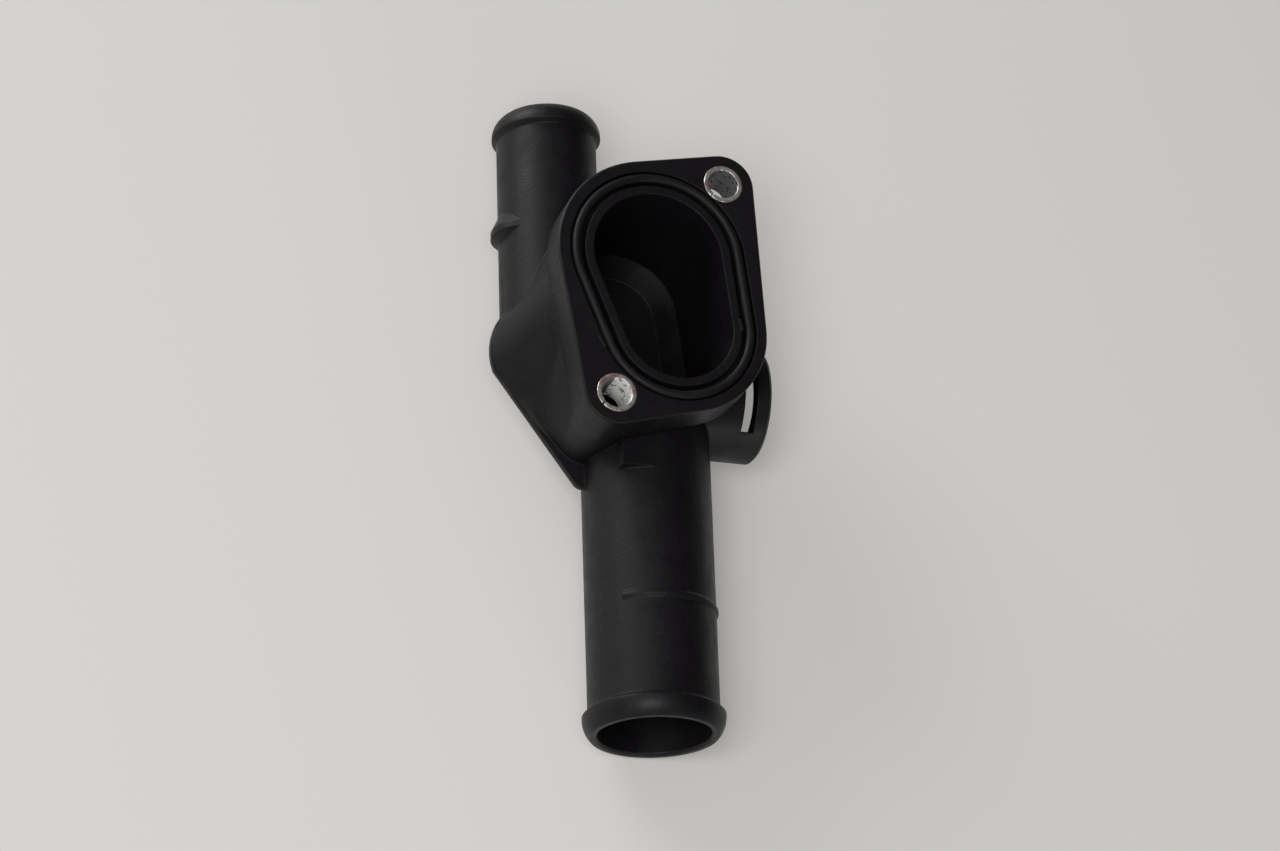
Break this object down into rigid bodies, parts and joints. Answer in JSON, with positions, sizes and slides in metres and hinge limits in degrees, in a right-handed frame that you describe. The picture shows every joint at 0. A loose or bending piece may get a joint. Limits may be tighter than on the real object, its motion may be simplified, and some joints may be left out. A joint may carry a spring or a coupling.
{
  "type": "coolant flange",
  "caption": "Black moulded coolant flange with an oval sealed port, two hose stubs, a sensor collar with a clip slot and steel bolt sleeves.",
  "frame": {"origin": "midway between the two bolt holes, on the sealing face", "axes": "+Z out of the sealing face, -Y along the large hose stub, +X along the sensor collar"},
  "size_m": [0.0683, 0.1617, 0.0449],
  "materials": {
    "black_nylon": "matte moulded, glass-filled",
    "black_rubber": "smooth moulded rubber",
    "zinc_steel": "bright zinc plate"
  },
  "bodies": {
    "root": {"housing": "black_nylon", "seal_ring": "black_rubber", "upper_sleeve": "zinc_steel", "lower_sleeve": "zinc_steel"}
  },
  "joints": []
}
